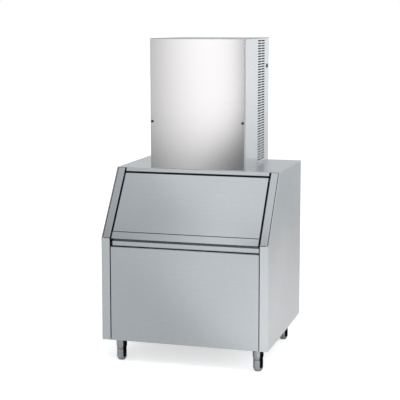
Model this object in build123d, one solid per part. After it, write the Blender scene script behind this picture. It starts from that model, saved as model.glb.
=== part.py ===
from build123d import *
import math
import os

# Ice cube machine: an ice maker standing on an insulated storage bin.
# Millimetres. X points right, the front faces -Y and Z points up.
# The origin lies on the floor under the middle of the bin.

# Sheet metal
sheet = 1.2
fold_radius = 3.0
flange = 15.0
seat_gap = 0.3
fit_gap = 0.05

# Storage bin
bin_width = 870.0
bin_depth = 790.0
bin_floor = 125.0
bend_height = 652.0
bin_top = 985.0
slant_lean = 245.0
insulation = 48.0
liner_wall = 4.0
liner_radius = 25.0

# Slanted front frame and the door's opening
strip_width = 45.0
corner_flange = 5.0
groove = 3.0
groove_depth = 12.0
deck_band = 22.0
frame_sheet = 2.0
opening_side = 85.0
opening_low = 28.0
opening_high = 45.0

# Bin door
door_gap = 9.0
door_top_gap = 10.0
door_thick = 42.0
door_inner_sheet = 2.0
handle_band = 38.5
handle_sheet = 1.5
lip_depth = 18.0
lip_slope = 16.0
lip_gap = 3.0
plug_gap = 12.0
plug_depth = 16.0
plug_draft = 12.0
plug_radius = 20.0
gasket_width = 16.0
gasket_offset = 4.0

# Door hinge, one pin and bush at each end
hinge_drop = 14.0
hinge_inset = 12.0
pin_radius = 4.0
pin_reach = 20.0
pin_anchor = 14.0
pin_shoulder_radius = 8.0
bush_radius = 7.0
bush_flange_radius = 10.0
bush_flange = 1.5
bush_length = 22.0

# Lower front panel
panel_drop = 42.0
panel_gap = 4.0
panel_corner = 8.0

# Feet
foot_side = 72.0
foot_front = 92.0
sleeve_radius = 27.5
sleeve_end_radius = 24.0
sleeve_bottom = 61.0
sleeve_taper = 15.0
stud_radius = 8.0
stud_length = 14.0
pad_radius = 25.0
pad_chamfer = 15.0
pad_sole_radius = 17.0
stem_radius = 15.0
stem_length = 40.0

# Bin drain
drain_radius = 16.0
drain_neck_radius = 18.0
drain_wall = 3.0
drain_flange_radius = 30.0
drain_flange = 3.0
drain_back = 145.0
drain_drop = 30.0

# Ice maker housing
head_width = 500.0
head_height = 670.0
base_sheet = 1.5
base_flange = 18.0
front_return = 14.0
head_flange = 12.0
ice_room = 225.0
back_recess = 14.0
drop_half_width = 190.0
drop_front = 66.0
drop_length = 90.0

# Louvres in the ice maker's sides
louvre_rows = 47
louvre_pitch = 13.7
louvre_height = 6.5
louvre_length = 73.0
louvre_gap = 8.0
louvre_back = 103.0
louvre_base = 21.0
blade_depth = 5.0
blade_sheet = 1.0

# Screws
cap_radius = 7.0
cap_height = 4.0
cap_side = 10.0
cap_rise = 244.0
screw_radius = 4.0
screw_head = 2.0
screw_shank_radius = 2.0
screw_shank = 6.0

# Rocker switch in the right side
switch_length = 30.0
switch_height = 21.0
switch_bezel = 2.5
switch_lip = 2.0
switch_depth = 24.0
switch_back = 44.0
switch_rise = 518.0
rocker_gap = 0.5
rocker_tilt = 10.0
rocker_thick = 5.0
rocker_pivot_radius = 1.5

# Evaporator with its cube cells
cell_columns = 11
cell_rows = 12
cell_pitch = 32.0
cell_depth = 22.0
cell_wall = 2.0
cell_plate = 2.0
evaporator_rise = 165.0
evaporator_stand = 13.0
evaporator_stud_radius = 4.0
coil_radius = 4.0
coil_passes = 6
coil_spacing = 60.0
coil_side = 26.0
coil_tail = 15.0
coil_bend = 24.0

# Water side
distributor_radius = 8.0
distributor_lift = 15.0
distributor_overhang = 12.0
hose_radius = 6.0
bracket_sheet = 3.0
bracket_gap = 12.0
bracket_reach = 65.0
bracket_height = 52.0
bracket_drop = 8.0
rod_radius = 3.0
rod_forward = 23.0
rod_lift = 30.0
curtain_sheet = 2.5
curtain_barrel = 6.0
curtain_gap = 0.5
curtain_rise = 12.0
sump_height = 90.0
sump_depth = 62.0
sump_wall = 3.0
sump_left = 190.0
sump_right = 240.0
chute_slats = 20
chute_slat = 6.0
chute_rise = 34.0
pump_foot_radius = 24.0
pump_foot_height = 26.0
pump_neck_radius = 8.0
pump_neck_height = 70.0
pump_motor_radius = 16.0
pump_motor_height = 70.0
pump_offset = 8.0
pump_gap = 1.0
fill_radius = 5.0

# Condenser, fan and motor
condenser_width = 180.0
condenser_height = 330.0
condenser_thick = 35.0
condenser_side = 12.0
condenser_fins = 22
fin_web = 4.0
fin_space = 4.9
duct_depth = 30.0
fan_hole_radius = 84.0
fan_radius = 78.0
fan_blades = 5
fan_hub_radius = 22.0
fan_hub_length = 16.0
fan_blade_sheet = 2.0
fan_blade_chord = 48.0
fan_pitch = 30.0
fan_shaft_radius = 3.0
fan_shaft_length = 22.0
motor_radius = 42.0
motor_length = 48.0
motor_gap = 6.0
bracket_arm = 10.0

# Compressor
compressor_x = -80.0
compressor_back = 165.0
compressor_radius = 72.0
compressor_height = 190.0
compressor_dome = 40.0
compressor_plate = 3.0
compressor_span = 130.0
grommet_radius = 12.0
grommet_height = 14.0
grommet_neck_radius = 8.4
stub_radius = 5.0
stub_height = 12.0

# Refrigerant pipes and drier
pipe_radius = 4.0
pipe_bend = 14.0
discharge_rise = 96.0
liquid_rise = 60.0
liquid_inset = 40.0
drier_radius = 14.0
drier_length = 110.0
drier_x = 60.0
drier_forward = 35.0
drier_rise = 235.0

# Controls and connections
control_width = 105.0
control_depth = 80.0
control_height = 180.0
control_x = 110.0
control_rise = 435.0
gland_radius = 11.0
gland_length = 12.0
gland_thread = 3.0
gland_bore = 4.5
gland_x = 150.0
gland_rise = 330.0
valve_x = -180.0
valve_rise = 120.0
valve_body = 34.0
inlet_radius = 12.0
inlet_neck_radius = 14.0
inlet_bore = 7.0

# Worked-out places
half_width = bin_width / 2
front = -bin_depth / 2
back = bin_depth / 2
slant_angle = math.atan2(slant_lean, bin_top - bend_height)
slant_length = math.hypot(slant_lean, bin_top - bend_height)
slant_top = front + slant_lean
panel_top = bend_height - panel_drop
jamb = half_width - strip_width
deck_under = bin_top - sheet
seal_depth = insulation - frame_sheet
band_edge = slant_length - deck_band
door_side = jamb - door_gap
door_top = band_edge - door_top_gap
hinge_up = door_top - hinge_drop
opening_half = half_width - opening_side
opening_top = band_edge - opening_high
skin_low = handle_band + groove

head_side = head_width / 2
head_front = slant_top
head_floor = bin_top + base_sheet
head_top = bin_top + head_height
head_inner = head_side - sheet - seat_gap
partition_y = head_front + ice_room
head_back = back - sheet - back_recess
drop_y0 = head_front + drop_front
drop_y1 = drop_y0 + drop_length
valve_z = bin_top + valve_rise
gland_z = bin_top + gland_rise
fill_x = valve_x + fill_radius

# The slanted front's own frame: X across, Y up the slope, Z out of the face.
slope = Plane(
    origin=(0, front, bend_height),
    x_dir=(1, 0, 0),
    z_dir=(0, -math.cos(slant_angle), math.sin(slant_angle)),
)


def block(x0, x1, y0, y1, z0, z1):
    """A box between two values on each axis."""
    return Pos(x0, y0, z0) * Box(x1 - x0, y1 - y0, z1 - z0, align=Align.MIN)


def prism(points, x0, x1):
    """A solid with the side view points (y, z), from x0 to x1."""
    outline = Plane.YZ.offset(x0) * Polygon(*points, align=None)
    return extrude(outline, x1 - x0, dir=(1, 0, 0))


def rod_x(radius, x0, x1, y, z):
    """A round bar along X."""
    return Pos((x0 + x1) / 2, y, z) * Rot(0, 90, 0) * Cylinder(radius, x1 - x0)


def rod_y(radius, x, y0, y1, z):
    """A round bar along Y."""
    return Pos(x, (y0 + y1) / 2, z) * Rot(90, 0, 0) * Cylinder(radius, y1 - y0)


def rod_z(radius, x, y, z0, z1):
    """A round bar along Z."""
    return Pos(x, y, (z0 + z1) / 2) * Cylinder(radius, z1 - z0)


def turned(points):
    """A solid of revolution about Z from its half section (radius, height)."""
    return revolve(Plane.XZ * Polygon(*points, align=None), Axis.Z)


def round_edge(solid, radius, *places):
    """Round the edges that run through the given places."""
    edges = [solid.edges().sort_by_distance(place)[0] for place in places]
    return fillet(edges, radius)


def to_slope(y, z):
    """The slanted front's (up, out) coordinates of a place (y, z)."""
    away, rise = y - front, z - bend_height
    up = away * math.sin(slant_angle) + rise * math.cos(slant_angle)
    out = -away * math.cos(slant_angle) + rise * math.sin(slant_angle)
    return up, out


def from_slope(up, out):
    """The place (y, z) of the slanted front's coordinates."""
    y = front + up * math.sin(slant_angle) - out * math.cos(slant_angle)
    z = bend_height + up * math.cos(slant_angle) + out * math.sin(slant_angle)
    return y, z


def cabinet_outline(inset, top=bin_top):
    """Side view of the bin with every face moved in by inset."""
    up_shift = (bin_top - top) * math.tan(slant_angle)
    lead = inset * math.tan((math.pi / 2 - slant_angle) / 2)
    return [
        (front + inset, bin_floor + inset),
        (front + inset, bend_height - inset * math.tan(slant_angle / 2)),
        (slant_top - up_shift + lead, top - inset),
        (back - inset, top - inset),
        (back - inset, bin_floor + inset),
    ]


def mirrored(solid):
    """The same piece for the left side."""
    return mirror(solid, Plane.YZ)


def pipe(radius, bend, *points):
    """A round pipe along straight runs with rounded corners."""
    path = FilletPolyline(*points, radius=bend)
    start = Vector(*points[1]) - Vector(*points[0])
    return sweep(Plane(origin=points[0], z_dir=start) * Circle(radius), path)


def pan(x0, x1, y0, y1, z0, z1, top_corner=0.0):
    """A tray folded from sheet, closed at y0 and open at y1."""
    skins = []
    for inset in (0, sheet):
        solid = block(x0 + inset, x1 - inset, y0 + inset, y1 + inset, z0 + inset, z1 - inset)
        if top_corner:
            solid = fillet(solid.edges().filter_by(Axis.Y).group_by(Axis.Z)[-1], top_corner - inset)
        rim = solid.faces().sort_by(Axis.Y)[0].edges()
        skins.append(fillet(rim, fold_radius - inset))
    return skins[0] - skins[1]


# Storage bin

door_core = door_thick - door_inner_sheet
trim_edge = half_width - corner_flange - groove
fold_side = half_width - sheet - fold_radius
ring_side = jamb + sheet
far = bin_depth


def bin_side():
    """Right side sheet, folded round into the upright strip beside the front panel."""
    skins = []
    for inset in (0, sheet):
        outline = cabinet_outline(inset, deck_under)
        solid = prism(outline, half_width - flange - inset, half_width - inset)
        skins.append(fillet(solid.edges().group_by(Axis.X)[-1], fold_radius - inset))
    side = skins[0] - skins[1]
    side -= slope * block(jamb, half_width - corner_flange, groove, far, -sheet, fold_radius)
    strip = block(jamb, half_width - flange, front, front + sheet, bin_floor, bend_height)
    strip += block(jamb, ring_side, front, front + seal_depth, bin_floor, bend_height)
    strip -= slope * block(jamb, half_width, 0, far, -insulation, fold_radius)
    behind_ring = slope * block(jamb, half_width, -far, far, -far, -seal_depth)
    strip -= behind_ring & block(jamb, half_width, front, back, panel_top, bin_top)
    return side + strip


def slant_trim():
    """Right strip of the slanted front, with the jamb beside the door."""
    length = slant_length + far / 4
    trim = block(jamb, trim_edge, groove, length, -sheet, 0)
    trim += block(jamb, ring_side, groove, length, -seal_depth, 0)
    trim += block(trim_edge - sheet, trim_edge, groove, length, -groove_depth, 0)
    middle = slant_length / 2
    trim = round_edge(trim, fold_radius - sheet, (jamb, middle, 0), (trim_edge, middle, 0))
    trim -= hinge_hole(pin_radius + seat_gap)
    return slope * trim & prism(cabinet_outline(0, deck_under - sheet), 0, half_width)


def hinge_hole(radius):
    """Round hole along the right end of the door's hinge line."""
    return rod_x(radius, 0, half_width, hinge_up, -hinge_inset)


def bin_front_panel():
    """Lower front panel, whose top fold is the floor of the finger recess."""
    side = jamb - panel_gap
    return pan(-side, side, front, front + seal_depth, bin_floor, panel_top, panel_corner)


def bin_back_panel():
    """Plain back sheet inside the sides' back folds."""
    return block(
        -fold_side, fold_side, back - 2 * sheet, back - sheet, bin_floor + 2 * sheet, deck_under - sheet
    )


def bin_top_deck():
    """Top sheet with its folded front band and the opening the ice drops through."""
    lead = sheet * math.tan(slant_angle)
    outline = [(slant_top, bin_top), (back, bin_top), (back, deck_under), (slant_top - lead, deck_under)]
    deck = prism(outline, seat_gap - half_width, half_width - seat_gap)
    band = block(-door_side, door_side, band_edge, slant_length, -sheet, 0)
    band += block(-door_side, door_side, band_edge, band_edge + sheet, -seal_depth, 0)
    deck += slope * band
    rear = half_width - flange - seat_gap
    deck += block(-rear, rear, back - 3 * sheet, back - 2 * sheet, deck_under - flange, deck_under)
    return deck - drop_shaft()


def drop_shaft():
    """Upright shaft that the ice falls down, from the ice maker into the bin."""
    return block(-drop_half_width, drop_half_width, drop_y0, drop_y1, bend_height, head_top)


def bin_base_pan():
    """Bottom tray that carries the feet."""
    low = bin_floor + sheet
    y0, y1 = front + seal_depth + seat_gap, back - 2 * sheet - seat_gap
    tray = block(-fold_side, fold_side, y0, y1, low, low + flange)
    tray -= block(sheet - fold_side, fold_side - sheet, y0 + sheet, y1 - sheet, low + sheet, low + flange)
    tray -= [rod_z(stud_radius + fit_gap, x, y, bin_floor, bend_height) for x, y in foot_places()]
    return tray - drain_hole()


def drain_hole():
    """Hole for the drain tube through the bin's bottom."""
    return rod_z(drain_neck_radius + fit_gap, 0, back - drain_back, 0, bend_height)


def door_frame():
    """Ring behind the door that the gasket closes on."""
    ring = block(-ring_side, ring_side, -far, far, -insulation, -seal_depth)
    ring -= block(-opening_half, opening_half, opening_low, opening_top, -insulation, 0)
    return slope * ring & block(-half_width, half_width, front, back, panel_top, deck_under)


def liner_shell(inset):
    """Tub shape of the bin's inside, every wall moved in by inset."""
    side = half_width - inset
    tub = prism(cabinet_outline(inset), -side, side)
    lower = tub.edges().filter_by(lambda edge: edge.center().Z < bend_height - insulation)
    return fillet(lower, liner_radius + insulation - inset)


def bin_liner():
    """Moulded tub that holds the ice."""
    deep = insulation + liner_wall
    liner = liner_shell(insulation) - liner_shell(deep)
    opening = block(-opening_half, opening_half, opening_low, opening_top, -2 * deep, 0)
    return liner - slope * opening - drop_shaft() - drain_hole()


def bin_foam():
    """Foam between the skins and the tub."""
    foam = prism(cabinet_outline(sheet), sheet - half_width, half_width - sheet)
    recess = slope * block(-ring_side, ring_side, -far, far, -insulation, far)
    foam -= recess & block(-half_width, half_width, front, back, panel_top, far * 2)
    foam -= liner_shell(insulation)
    for side in (-1, 1):
        edge = side * (jamb - panel_gap), side * jamb
        foam -= block(min(edge), max(edge), front, front + seal_depth, bin_floor, panel_top)
        outer = side * trim_edge, side * (half_width - corner_flange)
        foam -= slope * block(min(outer), max(outer), groove, far, -groove_depth, 0)
        strip = side * jamb, side * half_width
        foam -= slope * block(min(strip), max(strip), 0, groove, -groove_depth, 0)
    for x, y in foot_places():
        foam -= rod_z(stud_radius + fit_gap, x, y, 0, bin_floor + sheet + stud_length)
    pins = hinge_hole(pin_radius + seat_gap)
    foam -= slope * pins
    foam -= slope * mirrored(pins)
    foam -= drop_shaft()
    foam -= drain_hole()
    for neighbour in (
        bin_side(),
        mirrored(bin_side()),
        slant_trim(),
        mirrored(slant_trim()),
        bin_front_panel(),
        bin_back_panel(),
        bin_top_deck(),
        bin_base_pan(),
        door_frame(),
    ):
        foam -= neighbour
    return foam.solids().sort_by(SortBy.VOLUME)[-1]


def bin_drain():
    """Flanged drain tube through the bin's bottom."""
    floor = bin_floor + insulation + liner_wall
    bore = drain_radius - drain_wall
    outline = [
        (bore, bin_floor - drain_drop),
        (drain_radius, bin_floor - drain_drop),
        (drain_radius, bin_floor),
        (drain_neck_radius, bin_floor),
        (drain_neck_radius, floor),
        (drain_flange_radius, floor),
        (drain_flange_radius, floor + drain_flange),
        (bore, floor + drain_flange),
    ]
    return Pos(0, back - drain_back, 0) * turned(outline)


# Bin door, in the slanted front's frame

lip_up, lip_out = to_slope(front + lip_depth, panel_top + lip_gap)
inner_low = lip_up + lip_gap


def door_handle_section(reach):
    """Side view of the handle profile, carried on up the door by reach."""
    return [
        from_slope(handle_band + reach, 0),
        (front, bend_height),
        (front + lip_depth, bend_height - lip_slope),
        (front + lip_depth, panel_top + lip_gap),
        from_slope(inner_low, -door_core),
        from_slope(handle_band + reach, -door_core),
    ]


def door_handle_core(reach):
    """The room inside the handle profile."""
    section = offset(Polygon(*door_handle_section(reach), align=None), -handle_sheet, kind=Kind.INTERSECTION)
    width = 2 * (door_side - handle_sheet)
    return extrude(Plane.YZ.offset(-width / 2) * section, width, dir=(1, 0, 0))


def door_handle():
    """Full-width handle profile with the undercut that fingers pull on."""
    handle = prism(door_handle_section(0), -door_side, door_side)
    return handle - door_handle_core(door_core)


def door_skin_block(inset):
    """Outer block of the door's skin, every face moved in by inset."""
    solid = block(
        inset - door_side, door_side - inset, skin_low - inset, door_top - inset, -door_core - inset, -inset
    )
    rim = solid.faces().sort_by(Axis.Z)[-1].edges().sort_by(Axis.Y)[1:]
    return fillet(rim, fold_radius - inset)


def bush_holes():
    """Holes for the hinge bushes in both ends of the door."""
    hole = hinge_hole(bush_radius + fit_gap) - block(0, door_side - bush_length, -far, far, -far, far)
    return hole + mirrored(hole)


def door_skin():
    """Outer sheet of the door."""
    return slope * (door_skin_block(0) - door_skin_block(sheet) - bush_holes())


def plug(inset):
    """Raised plug on the door's inside that fills the opening."""
    width = 2 * (opening_half - plug_gap - inset)
    height = opening_top - opening_low - 2 * (plug_gap + inset)
    middle = (opening_top + opening_low) / 2
    outline = Pos(0, middle, -door_thick) * RectangleRounded(width, height, plug_radius - inset)
    return extrude(outline, -(plug_depth - inset), taper=plug_draft)


def door_inner_panel():
    """Moulded inner sheet of the door with its plug."""
    sheet_block = block(-door_side, door_side, inner_low, door_top, -door_thick, -door_core)
    hollow = plug(door_inner_sheet)
    through = hollow.faces().sort_by(Axis.Z)[-1]
    return slope * (sheet_block + plug(0) - hollow - extrude(through, door_inner_sheet))


def door_foam():
    """Foam inside the door."""
    foam = door_skin_block(sheet) & block(-far, far, handle_band, far, -door_core, 0)
    hollow = plug(door_inner_sheet)
    foam += hollow + extrude(hollow.faces().sort_by(Axis.Z)[-1], door_inner_sheet)
    foam -= block(-far, far, handle_band, skin_low, -groove_depth, 0)
    foam -= bush_holes()
    room = block(-far, far, -far, handle_band, -door_core, 0)
    room += block(-far, far, -far, skin_low, -door_core, -groove_depth)
    return slope * foam + (door_handle_core(door_core) & slope * room)


def door_gasket():
    """Soft seal round the plug."""
    inner, outer = gasket_offset, gasket_offset + gasket_width
    top, bottom = -door_thick, seat_gap - seal_depth
    ring = block(
        -opening_half - outer, opening_half + outer, opening_low - outer, opening_top + outer, bottom, top
    )
    ring -= block(
        -opening_half - inner, opening_half + inner, opening_low - inner, opening_top + inner, bottom, top
    )
    return slope * ring


def door_bushes():
    """Flanged plastic bushes in the door's ends."""
    bush = rod_x(bush_radius, door_side - bush_length, door_side, hinge_up, -hinge_inset)
    bush += rod_x(bush_flange_radius, door_side, door_side + bush_flange, hinge_up, -hinge_inset)
    bush -= hinge_hole(pin_radius + fit_gap)
    return slope * (bush + mirrored(bush))


def door_hinge_pins():
    """Shouldered pins that stand out of the jambs into the bushes."""
    pin = rod_x(pin_radius, door_side - pin_reach, jamb + pin_anchor, hinge_up, -hinge_inset)
    shoulder = door_side + bush_flange + seat_gap
    pin += rod_x(pin_shoulder_radius, shoulder, jamb, hinge_up, -hinge_inset)
    return slope * (pin + mirrored(pin))


# Feet


def foot_places():
    """Middles of the four feet, seen from above."""
    x, y = half_width - foot_side, bin_depth / 2 - foot_front
    return [(-x, -y), (x, -y), (-x, y), (x, y)]


def foot_sleeves():
    """Four leg sleeves with their studs through the base."""
    top = bin_floor + sheet
    bore, bore_top = stem_radius + fit_gap, sleeve_bottom + stem_length + fold_radius
    outline = [
        (0, bore_top),
        (bore, bore_top),
        (bore, sleeve_bottom),
        (sleeve_end_radius, sleeve_bottom),
        (sleeve_radius, sleeve_bottom + sleeve_taper),
        (sleeve_radius, top),
        (stud_radius, top),
        (stud_radius, top + stud_length),
        (0, top + stud_length),
    ]
    sleeve = turned(outline)
    return Part() + [Pos(x, y, 0) * sleeve for x, y in foot_places()]


def foot_pad(x, y):
    """Adjustable foot with its stem in the sleeve."""
    top = sleeve_bottom - seat_gap
    outline = [
        (0, 0),
        (pad_sole_radius, 0),
        (pad_radius, pad_chamfer),
        (pad_radius, top - fold_radius),
        (pad_radius - fold_radius, top),
        (stem_radius, top),
        (stem_radius, sleeve_bottom + stem_length),
        (0, sleeve_bottom + stem_length),
    ]
    return Pos(x, y, 0) * turned(outline)


# Ice maker housing

side_front = head_front + front_return + groove
head_under = head_top - sheet
louvre_y1 = back - louvre_back
louvre_y0 = louvre_y1 - 2 * louvre_length - louvre_gap
air_middle = (louvre_y0 + louvre_y1) / 2
screw_z = bin_top + base_flange / 2
cap_x = head_side - cap_side
cap_z = bin_top + cap_rise


def head_base():
    """Bottom tray of the ice maker with the opening for falling ice."""
    y0, y1 = side_front + 2 * sheet + seat_gap, head_back - seat_gap
    tray = block(-head_inner, head_inner, y0, y1, bin_top, bin_top + base_flange)
    inner = head_inner - base_sheet
    tray -= block(-inner, inner, y0 + base_sheet, y1 - base_sheet, head_floor, bin_top + base_flange)
    tray -= rod_x(screw_shank_radius + seat_gap, -head_side, head_side, louvre_y0, screw_z)
    return tray - drop_shaft()


def head_front_panel():
    """Front panel, folded back on all four sides."""
    panel = pan(-head_side, head_side, head_front, head_front + front_return, bin_top, head_under)
    for x in (-cap_x, cap_x):
        panel -= rod_y(screw_shank_radius + seat_gap, x, head_front, side_front, cap_z)
    return panel


def louvres(side):
    """Cut-outs and blades of the two columns of louvres."""
    slots, blades = [], []
    edge = blade_sheet * math.sqrt(2)
    for row in range(louvre_rows):
        z = bin_top + louvre_base + row * louvre_pitch
        for y in (louvre_y0, louvre_y1 - louvre_length):
            slots.append(block(side - sheet, side, y, y + louvre_length, z, z + louvre_height))
            outline = [
                (side - sheet, z - edge),
                (side - sheet, z),
                (side - blade_depth, z + blade_depth - sheet),
                (side - blade_depth, z + blade_depth - sheet - edge),
            ]
            face = Plane.XZ.offset(-y) * Polygon(*outline, align=None)
            blades.append(extrude(face, louvre_length, dir=(0, 1, 0)))
    return slots, blades


def head_side_panel():
    """Right side panel with its louvres."""
    skins = []
    for inset in (0, sheet):
        solid = block(
            head_side - head_flange - inset,
            head_side - inset,
            side_front + inset,
            back - inset,
            bin_top - inset,
            head_under - inset,
        )
        rim = solid.faces().sort_by(Axis.X)[-1].edges().sort_by(Axis.Z)[1:]
        skins.append(fillet(rim, fold_radius - inset))
    side = skins[0] - skins[1]
    slots, blades = louvres(head_side)
    side = side - slots + blades
    side -= rod_x(screw_shank_radius + seat_gap, 0, head_side, louvre_y0, screw_z)
    return side - rod_y(screw_shank_radius + seat_gap, cap_x, head_front, drop_y0, cap_z)


def head_top_panel():
    """Lid with a rim inside the walls' folds."""
    lid = block(-head_side, head_side, head_front, back, head_under, head_top)
    inset = front_return + groove + head_flange + seat_gap
    rim_side = head_side - head_flange - seat_gap
    y0, y1 = head_front + inset, head_back - seat_gap
    low = head_under - head_flange
    rim = block(-rim_side, rim_side, y0, y1, low, head_under)
    rim -= block(sheet - rim_side, rim_side - sheet, y0 + sheet, y1 - sheet, low, head_under)
    return lid + rim


def head_back_panel():
    """Recessed back panel with the holes for the water inlet and the cable gland."""
    side = head_side - sheet - fold_radius
    panel = pan(-side, side, head_back, back - sheet, bin_top, head_under - sheet)
    panel -= rod_y(inlet_neck_radius + fit_gap, valve_x, drop_y1, back, valve_z)
    return panel - rod_y(gland_radius - gland_thread + fit_gap, gland_x, drop_y1, back, gland_z)


def head_partition():
    """Wall between the ice side and the machine side."""
    side = head_inner - base_sheet - seat_gap
    high = head_under - head_flange - fold_radius
    wall = block(-side, side, partition_y, partition_y + sheet, head_floor, high)
    wall += block(-side, side, partition_y, partition_y + flange, head_floor, head_floor + sheet)
    for z in (coil_low, coil_high):
        wall -= rod_y(pipe_radius + fold_radius, pipe_x, drop_y1, back, z)
    return wall - rod_y(fill_radius + fold_radius, fill_x, drop_y1, back, valve_z)


def front_screws():
    """Black-capped screws of the front panel."""
    screw = rod_y(cap_radius, cap_x, head_front - cap_height, head_front, cap_z)
    screw = fillet(screw.edges().group_by(Axis.Y)[0], cap_height / 4)
    screw += rod_y(screw_shank_radius, cap_x, head_front, side_front + cap_height, cap_z)
    return screw + mirrored(screw)


def panel_screws():
    """Screws that hold the side panels to the base."""
    screw = rod_x(screw_radius, head_side, head_side + screw_head, louvre_y0, screw_z)
    screw = fillet(screw.edges().group_by(Axis.X)[-1], screw_head / 2)
    screw += rod_x(screw_shank_radius, head_side - screw_shank, head_side, louvre_y0, screw_z)
    return screw + mirrored(screw)


# Rocker switch

rocker_x = head_side - rocker_thick / 2
switch_y = back - switch_back
switch_z = bin_top + switch_rise


def switch_box(x0, x1, inset):
    """A block on the switch's middle, its outline moved in by inset."""
    y, z = switch_length / 2 - inset, switch_height / 2 - inset
    return block(x0, x1, switch_y - y, switch_y + y, switch_z - z, switch_z + z)


def switch_bezel_body():
    """Frame and body of the switch, clipped into the side panel."""
    solid = switch_box(head_side, head_side + switch_lip, 0)
    solid = fillet(solid.edges().group_by(Axis.X)[-1], switch_lip / 2)
    solid += switch_box(head_side - switch_depth, head_side, switch_bezel / 2)
    solid -= switch_box(head_side - switch_depth / 2, head_side + switch_lip, switch_bezel)
    reach = switch_height / 2 - switch_bezel / 2
    low, high = switch_z - reach, switch_z + reach
    return solid - rod_z(rocker_pivot_radius + fit_gap, rocker_x, switch_y, low, high)


def switch_hole():
    """Cut-out for the switch in the right side panel."""
    return switch_box(head_side - 2 * head_flange, head_side, switch_bezel / 2 - fit_gap)


def switch_rocker():
    """Rocker on its two small pivots, pressed in at its rear end."""
    half = rocker_thick / 2
    rocker = switch_box(rocker_x - half, rocker_x + half, switch_bezel + rocker_gap)
    reach = switch_height / 2 - switch_bezel + switch_bezel / 4
    rocker += rod_z(rocker_pivot_radius, rocker_x, switch_y, switch_z - reach, switch_z + reach)
    return rocker.rotate(Axis((rocker_x, switch_y, switch_z), (0, 0, 1)), rocker_tilt)


# Evaporator and the water that runs over it

cells_half = (cell_columns * cell_pitch + cell_wall) / 2
cells_low = head_floor + evaporator_rise
cells_high = cells_low + cell_rows * cell_pitch + cell_wall
cells_back = partition_y - evaporator_stand
cells_front = cells_back - cell_plate - cell_depth
coil_y = cells_back + coil_radius + seat_gap
coil_side_x = cells_half - coil_side
coil_end_x = coil_side_x + coil_tail
coil_low = (cells_low + cells_high - (coil_passes - 1) * coil_spacing) / 2
coil_high = coil_low + (coil_passes - 1) * coil_spacing
pipe_x = coil_end_x + pipe_bend + pipe_radius
bracket_x = cells_half + bracket_gap
rod_y_place = cells_front - rod_forward
rod_z_place = cells_high + rod_lift
distributor_y = cells_front + cell_depth / 2
distributor_z = cells_high + distributor_lift
sump_back = partition_y - seat_gap
sump_front = sump_back - sump_depth
sump_top = head_floor + sump_height


def evaporator():
    """Plate with the grid of cells that the cubes freeze in."""
    plate = block(-cells_half, cells_half, cells_front, cells_back, cells_low, cells_high)
    cells = []
    for column in range(cell_columns):
        x = cell_wall - cells_half + column * cell_pitch
        for row in range(cell_rows):
            z = cells_low + cell_wall + row * cell_pitch
            top = z + cell_pitch - cell_wall
            bottom = cells_back - cell_plate
            outline = [(cells_front, z), (cells_front, top), (bottom, top), (bottom, z + cell_depth / 4)]
            cells.append(prism(outline, x, x + cell_pitch - cell_wall))
    plate -= cells
    stud_x = coil_side_x + coil_side / 2
    for x in (-stud_x, stud_x):
        for z in (cells_low + cell_pitch / 2, cells_high - cell_pitch / 2):
            plate += rod_y(evaporator_stud_radius, x, cells_back, partition_y, z)
    return plate


def evaporator_coil():
    """Refrigerant tube that runs to and fro behind the plate."""
    points = []
    for turn in range(coil_passes):
        z = coil_low + turn * coil_spacing
        ends = (coil_side_x, -coil_side_x) if turn % 2 == 0 else (-coil_side_x, coil_side_x)
        points += [(x, coil_y, z) for x in ends]
    points[0] = (coil_end_x, coil_y, coil_low)
    points[-1] = (coil_end_x, coil_y, coil_high)
    return pipe(coil_radius, coil_bend, *points)


def curtain_brackets():
    """Two brackets that carry the curtain's rod and the distributor."""
    x0, x1 = bracket_x, bracket_x + bracket_sheet
    low = cells_high - bracket_drop
    plate = block(x0, x1, partition_y - bracket_reach, partition_y, low, low + bracket_height)
    plate -= rod_x(rod_radius + fit_gap, x0, x1, rod_y_place, rod_z_place)
    plate -= rod_x(distributor_radius + fit_gap, x0, x1, distributor_y, distributor_z)
    return plate + mirrored(plate)


def curtain_rod():
    """Rod that the ice curtain hangs on."""
    reach = bracket_x + 2 * bracket_sheet
    return rod_x(rod_radius, -reach, reach, rod_y_place, rod_z_place)


def ice_curtain():
    """Hanging curtain in front of the cells, with its barrel on the rod."""
    side = bracket_x - curtain_gap
    half = curtain_sheet / 2
    low = sump_top + chute_rise + curtain_rise
    curtain = block(-side, side, rod_y_place - half, rod_y_place + half, low, rod_z_place)
    curtain += rod_x(curtain_barrel, -side, side, rod_y_place, rod_z_place)
    return curtain - rod_x(rod_radius + fit_gap, -side, side, rod_y_place, rod_z_place)


def water_distributor():
    """Tube that lets water run down over the cells."""
    reach = bracket_x + bracket_sheet + distributor_overhang
    return rod_x(distributor_radius, -reach, reach, distributor_y, distributor_z)


def water_sump():
    """Open trough that catches the water under the cells."""
    sump = block(-sump_left, sump_right, sump_front, sump_back, head_floor, sump_top)
    return sump - block(
        sump_wall - sump_left,
        sump_right - sump_wall,
        sump_front + sump_wall,
        sump_back - sump_wall,
        head_floor + sump_wall,
        sump_top,
    )


def ice_chute():
    """Sloping ribs over the sump: cubes slide off forward, water falls between them."""
    left, right = fill_x + 2 * fill_radius, sump_left - chute_slat
    pitch = (right - left - sump_wall) / (chute_slats - 1)
    outline = [
        (sump_front, sump_top),
        (sump_back, sump_top),
        (sump_back, sump_top + chute_rise),
        (sump_front, sump_top + chute_slat),
    ]
    ribs = [prism(outline, left + i * pitch, left + i * pitch + sump_wall) for i in range(chute_slats)]
    rails = [
        block(left, right, y, y + sump_wall, sump_top, sump_top + chute_slat)
        for y in (sump_front, sump_back - sump_wall)
    ]
    return Part() + ribs + rails



pump_x = sump_right - sump_wall - pump_foot_radius - pump_gap
pump_y = (sump_front + sump_back) / 2
pump_floor = head_floor + sump_wall
outlet_y = pump_y - pump_foot_radius + hose_radius + pump_gap


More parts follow.
